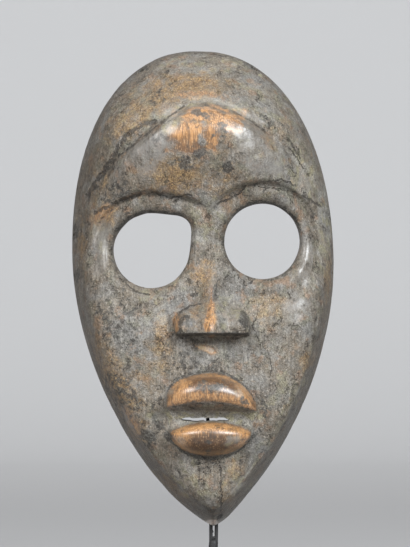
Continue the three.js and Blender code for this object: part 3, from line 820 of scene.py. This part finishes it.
print("bending the holder")
foot, top = np.array([0, rodY, standSizes["foot"]]), np.array([chinX, rodY, forkZ])
shankPath = lerp(foot, top, np.linspace(0, 1, 60)[:, None])
forged = 1 + 0.02 * softNoise(shankPath, 9 * mm, 42)
wirePaths = {"spine_wire": spinePath(), "chin_wire": chinPath()}
rod = bar("holder", shankPath, standSizes["shank"] / 2 * forged)
wires = [bar(name, path, standSizes["wire"] / 2) for name, path in wirePaths.items()]
weldBeads = [[0.95, 1, 0.5], [0.68, 1, 0.35], [0.34, 0.5, 0.4]]  # below the chin, half width, half height
beads = []
for below, wide, tall in weldBeads:
    middle = [chinX - (1 - wide) * wireStep, rodY, chinZ - below * standSizes["forkDrop"]]
    size = [wide * wireStep, 0.45 * standSizes["wire"], tall * standSizes["wire"]]
    beads.append(bead("bead", middle, size))
cutOrJoin(rod, wires + beads, "UNION")
rod.data.shade_smooth()
rod.data.set_sharp_from_angle(angle=radians(50))
print("holder faces", len(rod.data.polygons))

# Finishes: short ways to lay out nodes

def join(tree, socket, value):
    if isinstance(value, bpy.types.NodeSocket):
        tree.links.new(value, socket)
    else:
        socket.default_value = value


def add(tree, kind, settings, **values):  # a node with its settings, and its named sockets fed
    node = tree.nodes.new("ShaderNode" + kind)
    for name, setting in settings.items():
        setattr(node, name, setting)
    for name, value in values.items():
        join(tree, node.inputs[name.replace("_", " ")], value)
    return node


def maths(tree, operation, *values):
    node = add(tree, "Math", {"operation": operation})
    for socket, value in zip(node.inputs, values):
        join(tree, socket, value)
    return node.outputs[0]


def times(tree, product, *values):
    for value in values:
        product = maths(tree, "MULTIPLY", product, value)
    return product


def plus(tree, *values):
    return maths(tree, "ADD", *values)


def minus(tree, *values):
    return maths(tree, "SUBTRACT", *values)


def most(tree, *values):  # the largest of several
    largest = values[0]
    for value in values[1:]:
        largest = maths(tree, "MAXIMUM", largest, value)
    return largest


def vectors(tree, operation, *values):
    node = add(tree, "VectorMath", {"operation": operation})
    for socket, value in zip(node.inputs, values):
        join(tree, socket, value)
    return node.outputs["Value" if operation in ("DOT_PRODUCT", "LENGTH") else "Vector"]


def between(tree, value, low, high, start=0.0, end=1.0):  # eased from start at low to end at high
    node = add(tree, "MapRange", {"interpolation_type": "SMOOTHSTEP"}, Value=value)
    for label, level in {"From Min": low, "From Max": high, "To Min": start, "To Max": end}.items():
        join(tree, node.inputs[label], level)
    return node.outputs[0]


def tint(tree, factor, a, b, way="MIX"):
    node = add(tree, "Mix", {"data_type": "RGBA", "blend_type": way})
    join(tree, node.inputs[0], factor)
    for socket, value in ((node.inputs[6], a), (node.inputs[7], b)):
        join(tree, socket, (*value, 1) if isinstance(value, tuple) else value)
    return node.outputs[2]


def noise(tree, place, size, detail, **others):  # with features of about that size
    return add(tree, "TexNoise", {}, Vector=place, Scale=1 / size, Detail=detail, **others).outputs


def ridges(tree, place, size, detail, distortion):  # 0 on winding lines, where noise crosses its middle
    value = noise(tree, place, size, detail, Distortion=distortion)[0]
    return maths(tree, "ABSOLUTE", minus(tree, value, 0.5))


def field(tree, name):  # a finish that was worked out on the vertices
    return add(tree, "Attribute", {"attribute_name": name}).outputs["Fac"]


def newGroup(name, inputs, output):  # a node group; a tuple among its inputs makes a vector socket
    group = bpy.data.node_groups.new(name, "ShaderNodeTree")
    for label, value in inputs.items():
        kind = "NodeSocketVector" if isinstance(value, tuple) else "NodeSocketFloat"
        group.interface.new_socket(label, in_out="INPUT", socket_type=kind).default_value = value
    group.interface.new_socket(output, in_out="OUTPUT", socket_type="NodeSocketFloat")
    return group, group.nodes.new("NodeGroupInput").outputs, group.nodes.new("NodeGroupOutput").inputs


def use(tree, group, **values):
    node = add(tree, "Group", {"node_tree": group}, **values)
    return node.outputs[0]


# Specks: two noises of nearly one size added up, and their contrast raised about the middle
nowhere = (0.0, 0.0, 0.0)
speckle, given, result = newGroup("speckle", {"place": nowhere, "scale": 1000.0, "contrast": 2.0}, "value")
coarse = add(speckle, "TexNoise", {}, Vector=given["place"], Scale=given["scale"], Detail=2.0).outputs[0]
closer = times(speckle, given["scale"], 2.3)
fine = add(speckle, "TexNoise", {}, Vector=given["place"], Scale=closer, Detail=1.0).outputs[0]
spread = minus(speckle, plus(speckle, coarse, fine), 1.0)
speckle.links.new(maths(speckle, "MULTIPLY_ADD", spread, given["contrast"], 0.5), result["value"])

# Fibres: noise squeezed across and drawn out along z, as the wood's grain and a brush both run
fibres, given, result = newGroup("fibres", {"place": nowhere, "scale": 2000.0, "stretch": 0.06}, "value")
squeeze = add(fibres, "CombineXYZ", {}, X=1.0, Y=1.0, Z=given["stretch"]).outputs[0]
drawn = vectors(fibres, "MULTIPLY", given["place"], squeeze)
strand = add(fibres, "TexNoise", {}, Vector=drawn, Scale=given["scale"], Detail=2.0, Distortion=0.3)
fibres.links.new(strand.outputs[0], result["value"])

# Worn patches: a mask field roughened by noise, then cut off between two levels
worn, given, result = newGroup("worn_patches", {
    "field": 0.0, "place": nowhere, "scale": 300.0, "raggedness": 1.0, "low": 0.3, "high": 0.7,
}, "mask")
ragged = add(worn, "TexNoise", {}, Vector=given["place"], Scale=given["scale"], Detail=5.0, Roughness=0.68)
offset = times(worn, minus(worn, ragged.outputs[0], 0.5), given["raggedness"])
level = plus(worn, given["field"], offset)
worn.links.new(between(worn, level, given["low"], given["high"]), result["mask"])

# Crack: 1 on a line between two points in x and z, fading out at its width
crack, given, result = newGroup("crack", {
    "place": nowhere, "start": nowhere, "end": (0.0, 0.0, 1.0), "width": 0.0005,
}, "mask")
flat = vectors(crack, "MULTIPLY", given["place"], (1.0, 0.0, 1.0))
reached = vectors(crack, "SUBTRACT", flat, given["start"])
whole = vectors(crack, "SUBTRACT", given["end"], given["start"])
ratio = maths(crack, "DIVIDE", vectors(crack, "DOT_PRODUCT", reached, whole),
              vectors(crack, "DOT_PRODUCT", whole, whole))
along = add(crack, "Clamp", {}, Value=ratio).outputs[0]
nearest = add(crack, "VectorMath", {"operation": "SCALE"}, Vector=whole, Scale=along).outputs[0]
gap = vectors(crack, "LENGTH", vectors(crack, "SUBTRACT", reached, nearest))
solid = times(crack, given["width"], 0.35)
crack.links.new(between(crack, gap, solid, given["width"], 1.0, 0.0), result["mask"])

woodSizes = {
    "greyCrust": (0.155, 0.146, 0.132),
    "brownCrust": (0.138, 0.112, 0.082),
    "darkCrust": (0.040, 0.034, 0.028),
    # dark brown for the sides' crust, and painted shade on sideways faces and the jaw's bevel
    "sideShadeAndCrust": (0.05, 0.04, 0.03),
    "paleFleck": (0.36, 0.33, 0.285),
    "ochre": (0.33, 0.215, 0.09),
    "bareWood": (0.42, 0.215, 0.082),
    "paleWood": (0.6, 0.4, 0.22),
    "darkWood": (0.095, 0.046, 0.02),
    # near black: soot, painted shade in creases and recesses, cracks and pits
    "sootAndShade": (0.024, 0.019, 0.015),
    "ashCrust": (0.085, 0.08, 0.069),
    "sheen": (0.15, 0.132, 0.113),
    "limeDust": (0.34, 0.31, 0.19),
    "olive": (0.16, 0.152, 0.105),
    "rust": (0.2, 0.118, 0.066),
    # pale grey: dust, and the painted highlights
    "dust": (0.33, 0.315, 0.275),
    "hollow": (0.115, 0.088, 0.062),
    "bumpDepth": 0.5 * mm,
}
cracks = {  # across and up in mm, from the chin's tip, then the width
    "chin": ([(8.6, 32), (9.0, 20), (9.2, 5)], 0.6),
    "noseLeftTop": ([(-11.3, 108.6), (-6, 111.5), (-1.5, 112.4)], 0.55),
    "noseLeftWing": ([(-11.3, 99), (-11.7, 103), (-9.6, 106), (-7.1, 106)], 1),
    "archRight": ([(14.7, 208), (24, 203), (31, 197.5)], 0.4),
    "archFleck": ([(31, 206), (33, 203), (33, 200)], 0.7),
    "archRightEnd": ([(43, 190.5), (51, 179)], 0.35),
    "domeRight": ([(40, 196), (42, 194.5), (43.3, 193)], 0.6),
    "domeRightLow": ([(44.9, 192), (47.4, 189.8), (48.6, 184.5)], 0.5),
    "edgeRight": ([(51.1, 179.5), (52.6, 177)], 0.8),
    "edgeRightLow": ([(50.7, 167.2), (53.2, 164.7)], 0.9),
    "archLeft": ([(-57.5, 167), (-49, 179.5), (-38.5, 196), (-29.5, 201.7), (-24.5, 202.6)], 1.7),
    "archLeftInner": ([(-47.6, 181), (-37.7, 189.4), (-24.5, 199.2), (-16.2, 205.8), (-9.6, 210.8)], 0.7),
    "browLeftOuter": ([(-54.3, 157.7), (-46.2, 161.1), (-38.6, 164.7), (-31, 167)], 1.1),
    "browRight": ([(7, 162), (16.5, 166), (21.2, 170.8), (28.7, 172.6), (39, 174), (45.7, 171.3)], 0.7),
    "browRightLow": ([(27.5, 170.4), (36, 169.8), (44.9, 168)], 0.4),
    "browLeft": ([(-25, 168), (-17, 165), (-9, 166.2), (-3, 166.6)], 0.7),
    "templeRight": ([(50, 166), (59, 161)], 0.6),
    "eyeRightLow": ([(19.8, 124), (21.3, 121), (26, 125)], 0.4),
    "eyeLeftLow": ([(-41.6, 125), (-33, 118.4), (-27, 117)], 0.4),
    "cheekRight": ([(32, 89), (34, 81), (33, 76)], 0.35),
    "cheekRightHigh": ([(27, 107), (24.5, 101), (28, 94)], 0.35),
    "cheekLeft": ([(-24, 97), (-19, 92), (-21, 87)], 0.35),
    "foreheadRight": ([(44, 192), (47, 187)], 0.7),
    "chinLeft": ([(-12.6, 30), (-10.5, 26)], 0.4),
}


def newMaterial(name):  # with its nodes, its surface and the place on the object
    material = bpy.data.materials.new(name)
    material.use_nodes = True
    tree = material.node_tree
    return material, tree, tree.nodes["Principled BSDF"], add(tree, "TexCoord", {}).outputs["Object"]


def blend(tree, factor, first, second):
    return tint(tree, factor, woodSizes[first], woodSizes[second])


def layered(tree, colour, layers, within=None):  # washes, each eased in between two levels of its pattern
    for pattern, low, high, strength, shade in layers:
        amount = between(tree, pattern, low, high, 0.0, strength)
        if within is not None:
            amount = times(tree, amount, within)
        colour = tint(tree, amount, colour, woodSizes[shade])
    return colour


def patchy(tree, spread, place, size, raggedness, low, high):  # worn patches of about that size
    levels = {"raggedness": raggedness, "low": low, "high": high}
    return use(tree, worn, field=spread, place=place, scale=1 / size, **levels)


def crackLines(tree, place):
    lines = 0.0
    for corners, width in cracks.values():
        ends = [(x * mm, 0.0, chinZ + z * mm) for x, z in corners]
        for start, end in zip(ends, ends[1:]):
            line = use(tree, crack, place=place, start=start, end=end, width=width * mm)
            lines = most(tree, lines, line)
    return lines


def woodMaterial():
    material, tree, surface, place = newMaterial("worn_wood")
    polish, ochre, sootAndShade, dust = [field(tree, name) for name in ("polish", "ochre", "sootAndShade", "dust")]
    satin, shade, hollow = [field(tree, name) for name in ("satin", "shade", "hollow")]

    wander = noise(tree, place, 2.5 * mm, 3.0)["Color"]
    pushed = vectors(tree, "MULTIPLY", vectors(tree, "SUBTRACT", wander, (0.5, 0.5, 0.5)), (3 * mm,) * 3)
    wandering = vectors(tree, "ADD", place, pushed)

    broad = noise(tree, place, 14 * mm, 4.0, Roughness=0.6)[0]
    patches = noise(tree, place, 7 * mm, 6.0, Roughness=0.72)[0]
    mottle = noise(tree, place, 3 * mm, 5.0, Roughness=0.65)[0]
    hue = add(tree, "SeparateColor", {}, Color=noise(tree, wandering, 6 * mm, 3.0)["Color"]).outputs
    leather = use(tree, speckle, place=place, scale=1 / (1.4 * mm), contrast=1.8)
    upright = vectors(tree, "MULTIPLY", place, (1.0, 1.0, 0.55))
    specks = use(tree, speckle, place=upright, scale=1 / (0.55 * mm), contrast=2.2)
    veins = between(tree, ridges(tree, place, 2.6 * mm, 3.0, 0.8), 0.05, 0.0)
    grain = use(tree, fibres, place=place, scale=1 / (0.5 * mm), stretch=0.05)
    strands = use(tree, fibres, place=place, scale=1 / (1.2 * mm), stretch=0.1)
    streaks = use(tree, fibres, place=place, scale=1 / (2.2 * mm), stretch=0.16)

    # Crust: grey and brown by turns, darker in ragged patches, with flecks of both kinds
    colour = blend(tree, between(tree, broad, 0.37, 0.58), "greyCrust", "brownCrust")
    colour = layered(tree, colour, [
        (patches, 0.5, 0.62, 0.5, "darkCrust"),
        (hue[0], 0.5, 0.66, 0.5, "olive"),
        (hue[1], 0.54, 0.68, 0.6, "rust"),
        (patches, 0.44, 0.36, 0.2, "paleFleck"),
        (mottle, 0.5, 0.66, 0.3, "darkCrust"),
    ])
    crumbly = between(tree, broad, 0.42, 0.58)
    flecks = [(leather, 0.58, 1.1, 0.28, "paleFleck"), (leather, 0.44, 0.0, 0.38, "darkCrust")]
    colour = layered(tree, colour, flecks, crumbly)
    brushed = [(strands, 0.5, 0.64, 0.28, "darkCrust"), (strands, 0.47, 0.36, 0.16, "paleFleck")]
    colour = layered(tree, colour, brushed)

    # Ochre earth rubbed into the crust, and crust rubbed smooth
    warmth = blend(tree, between(tree, leather, 0.3, 0.9, 0.15, 0.9), "darkWood", "ochre")
    warmth = tint(tree, times(tree, veins, 0.7), warmth, woodSizes["ochre"])
    warmth = layered(tree, warmth, [(mottle, 0.52, 0.6, 0.4, "rust")])
    warm = patchy(tree, ochre, place, 5 * mm, 2.2, 0.05, 1.15)
    colour = tint(tree, times(tree, warm, 0.85), colour, warmth)
    smooth = blend(tree, between(tree, grain, 0.42, 0.58), "sheen", "greyCrust")
    smoothed = times(tree, satin, between(tree, patches, 0.66, 0.5, 0.0, 0.75))
    colour = tint(tree, smoothed, colour, smooth)

    # Wood rubbed bare, brightest where the ochre field is strong too, streaked along its grain
    bare = patchy(tree, polish, place, 3 * mm, 1.5, 0.15, 0.85)
    ruddy = between(tree, maths(tree, "MULTIPLY_ADD", ochre, 0.6, patches), 0.5, 1.1)
    woody = layered(tree, blend(tree, ruddy, "darkWood", "bareWood"), [
        (strands, 0.5, 0.62, 0.5, "darkWood"),
        (grain, 0.5, 0.64, 0.6, "darkWood"),
        (grain, 0.45, 0.34, 0.45, "paleWood"),
        (streaks, 0.54, 0.7, 0.5, "darkCrust"),
        (mottle, 0.56, 0.66, 0.5, "darkCrust"),
    ])
    colour = tint(tree, bare, colour, woody)

    # Painted shade on the sides and the jaw's bevel, partly the sides' darker crust; then soot and dirt with
    # painted shade, pale dust with painted highlights, and the plain hollow
    shaded = times(tree, shade, between(tree, mottle, 0.35, 0.6, 0.5, 0.9))
    colour = tint(tree, shaded, colour, woodSizes["sideShadeAndCrust"])
    # Soot and dirt, and painted shade in recesses, creases and under the nose
    sootyAndShaded = patchy(tree, sootAndShade, place, 3 * mm, 3.2, 0.3, 0.75)
    sootShade = blend(tree, between(tree, leather, 0.25, 0.8), "sootAndShade", "ashCrust")
    colour = tint(tree, times(tree, sootyAndShaded, 0.88), colour, sootShade)
    # Pale dust, and painted highlights where the dust field carries them
    dusty = patchy(tree, dust, place, 4 * mm, 1.6, 0.2, 1.1)
    dustAndHighlightShade = blend(tree, between(tree, hue[0], 0.46, 0.58), "dust", "limeDust")
    colour = tint(tree, times(tree, dusty, 0.5), colour, dustAndHighlightShade)
    inside = blend(tree, between(tree, strands, 0.35, 0.65), "hollow", "darkCrust")
    colour = tint(tree, hollow, colour, inside)

    # Pits and grit: small dark and pale dots in some of a cell pattern's cells
    kept = minus(tree, 1.0, times(tree, most(tree, bare, satin, hollow), 0.7))
    for size, chosen, strength, paint in ((1.9, 0, 0.7, "sootAndShade"), (1.7, 1, 0.4, "paleFleck")):
        dots = add(tree, "TexVoronoi", {}, Vector=wandering, Scale=1 / (size * mm)).outputs
        lot = add(tree, "SeparateColor", {}, Color=dots["Color"]).outputs[chosen]
        dot = between(tree, dots["Distance"], 0.14, 0.24, 1.0, 0.0)
        drawnLot = between(tree, lot, 0.55, 0.75)
        colour = tint(tree, times(tree, dot, drawnLot, kept, strength), colour, woodSizes[paint])

    # A fine grain of light and dark over all of it
    grainy = between(tree, specks, 0.0, 1.0, 0.63, 1.3)
    calm = times(tree, most(tree, satin, hollow), 0.6)
    colour = tint(tree, minus(tree, 1.0, calm), colour, grainy, "MULTIPLY")

    # Cracks wander off their lines, and the crust is crazed in places
    lines = times(tree, crackLines(tree, wandering), between(tree, mottle, 0.4, 0.5, 0.2, 1.0))
    lines = times(tree, lines, minus(tree, 1.0, hollow))
    crazed = between(tree, ridges(tree, wandering, 8 * mm, 4.0, 0.6), 0.006, 0.016, 1.0, 0.0)
    crazed = times(tree, crazed, between(tree, patches, 0.5, 0.6, 0.0, 0.8))
    crazed = times(tree, crazed, minus(tree, 1.0, most(tree, satin, bare, hollow)))
    lines = most(tree, lines, crazed)
    colour = tint(tree, times(tree, lines, 0.75), colour, woodSizes["sootAndShade"])
    join(tree, surface.inputs["Base Color"], colour)

    glossy = most(tree, bare, times(tree, satin, between(tree, patches, 0.75, 0.4)))
    roughness = between(tree, glossy, 0.0, 1.0, 0.5, 0.36)
    roughness = plus(tree, roughness, times(tree, minus(tree, leather, 0.5), 0.12))
    roughness = plus(tree, roughness, times(tree, most(tree, dusty, sootyAndShaded), 0.2))
    join(tree, surface.inputs["Roughness"], roughness)
    join(tree, surface.inputs["Coat Weight"], times(tree, glossy, 0.85))
    surface.inputs["Coat Roughness"].default_value = 0.38

    relief = 0.0
    for pattern, height in ((leather, 0.33), (specks, 0.14), (mottle, 1.2), (strands, 0.2)):
        relief = maths(tree, "MULTIPLY_ADD", pattern, height, relief)
    relief = times(tree, relief, between(tree, glossy, 0.0, 1.0, 1.0, 0.16))
    relief = plus(tree, relief, times(tree, grain, 0.13))
    relief = minus(tree, relief, times(tree, lines, 1.2))
    bump = add(tree, "Bump", {}, Height=relief, Distance=woodSizes["bumpDepth"], Strength=1.0)
    join(tree, surface.inputs["Normal"], bump.outputs[0])
    return material


steelSizes = {
    "paint": (0.017, 0.017, 0.018),
    "rubbed": (0.075, 0.072, 0.068),
    "dust": (0.16, 0.155, 0.145),
}


def steelMaterial():
    material, tree, surface, place = newMaterial("painted_steel")
    specks = use(tree, speckle, place=place, scale=1 / (0.6 * mm), contrast=2.4)
    strokes = use(tree, fibres, place=place, scale=1 / (0.5 * mm), stretch=0.08)
    rubbed = patchy(tree, 0.2, place, 5 * mm, 1.4, 0.42, 0.7)
    dusty = between(tree, specks, 0.85, 1.5, 0.0, 0.6)
    colour = tint(tree, times(tree, rubbed, 0.6), steelSizes["paint"], steelSizes["rubbed"])
    colour = tint(tree, dusty, colour, steelSizes["dust"])
    join(tree, surface.inputs["Base Color"], colour)
    join(tree, surface.inputs["Roughness"], between(tree, rubbed, 0.0, 1.0, 0.62, 0.5))
    relief = plus(tree, times(tree, specks, 0.3), strokes)
    bump = add(tree, "Bump", {}, Height=relief, Distance=0.05 * mm, Strength=0.6)
    join(tree, surface.inputs["Normal"], bump.outputs[0])
    return material


print("finishing the wood and the steel")
mask.data.materials.clear()
mask.data.materials.append(woodMaterial())
steel = steelMaterial()
rod.data.materials.clear()
rod.data.materials.append(steel)
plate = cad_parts["stand_plate"]
for slot in plate.material_slots:
    slot.material = steel

# Studio: a pale sheet that runs level under the stand, then sweeps up behind it

studio = {
    "front": -3.2,
    "bend": 2.3,
    "bendRadius": 0.8,
    "top": 3.2,
    "halfWidth": 4,
    "wallShade": (0.58, 0.583, 0.59),
    # darker than the wall: painted shade on the floor
    "shadedFloorTone": (0.385, 0.385, 0.39),
    "worldShade": (0.88, 0.89, 0.91),
    "worldStrength": 0.12,
    "cameraDistance": 2.4,
}


def sweep():  # level, then a quarter circle, then upright
    turn = np.linspace(0, np.pi / 2, 40)
    y = np.concatenate([[studio["front"]], studio["bend"] + studio["bendRadius"] * np.sin(turn)])
    z = np.concatenate([[0], studio["bendRadius"] * (1 - np.cos(turn))])
    y, z = np.append(y, y[-1]), np.append(z, studio["top"])
    x = np.array([-1, 1]) * studio["halfWidth"]
    points = np.stack(np.broadcast_arrays(x[None, :], y[:, None], z[:, None]), axis=-1)
    mesh = bpy.data.meshes.new("backdrop")
    mesh.from_pydata(points.reshape(-1, 3).tolist(), [], gridFaces(len(y) - 1, 1)[:, ::-1].tolist())
    mesh.shade_smooth()
    return pieceFrom("backdrop", mesh)


def paperMaterial():  # paper greyer on the level part: painted shade for the floor's dimmer light
    material, tree, surface, place = newMaterial("pale_paper")
    back = add(tree, "SeparateXYZ", {}, Vector=place).outputs["Y"]
    graded = between(tree, back, 1.2, 2.9)
    join(tree, surface.inputs["Base Color"], tint(tree, graded, studio["shadedFloorTone"], studio["wallShade"]))
    surface.inputs["Roughness"].default_value = 0.85
    surface.inputs["Specular IOR Level"].default_value = 0.2
    return material


def softLight(name, place, aim, size, power, shade=(1, 1, 1)):
    data = bpy.data.lights.new(name, "AREA")
    data.shape = "RECTANGLE"
    data.size, data.size_y = size
    data.energy = power
    data.color = shade
    light = bpy.data.objects.new(name, data)
    light.location = place
    light.rotation_euler = (Vector(aim) - Vector(place)).to_track_quat("-Z", "Y").to_euler()
    bpy.context.scene.collection.objects.link(light)
    return light


print("lighting the studio")
backdrop = sweep()
backdrop.data.materials.append(paperMaterial())
middle = (0, 0, chinZ + 0.12)
softLight("left_box", (-1.25, -1.4, 1.3), middle, (0.7, 0.9), 42)
softLight("right_box", (1.05, -1.5, 1.2), middle, (0.7, 0.9), 64, (0.93, 0.97, 1))
softLight("top_box", (0, -0.6, 1.8), middle, (1.2, 0.6), 5)
softLight("backdrop_box", (0, 1.2, 2.4), (0, 3.0, 0.4), (3.0, 0.8), 40)
world = bpy.data.worlds.new("studio_air")
world.use_nodes = True
world.node_tree.nodes["Background"].inputs[0].default_value = (*studio["worldShade"], 1)
world.node_tree.nodes["Background"].inputs[1].default_value = studio["worldStrength"]
bpy.context.scene.world = world
bpy.context.scene.view_settings.view_transform = "Standard"

cameraData = bpy.data.cameras.new("camera")
cameraData.sensor_fit = "VERTICAL"
cameraData.sensor_height = 36
cameraData.lens = 130.1 * studio["cameraDistance"]  # the picture is 276.7 mm tall at the mask's back edge
camera = bpy.data.objects.new("camera", cameraData)
camera.location = (0.001, rimY - studio["cameraDistance"], chinZ + 0.1275)
camera.rotation_euler = (radians(90), 0, 0)
bpy.context.scene.collection.objects.link(camera)
bpy.context.scene.camera = camera

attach(mask, "root")
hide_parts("mask")
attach(rod, "root")
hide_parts("stand_rod")
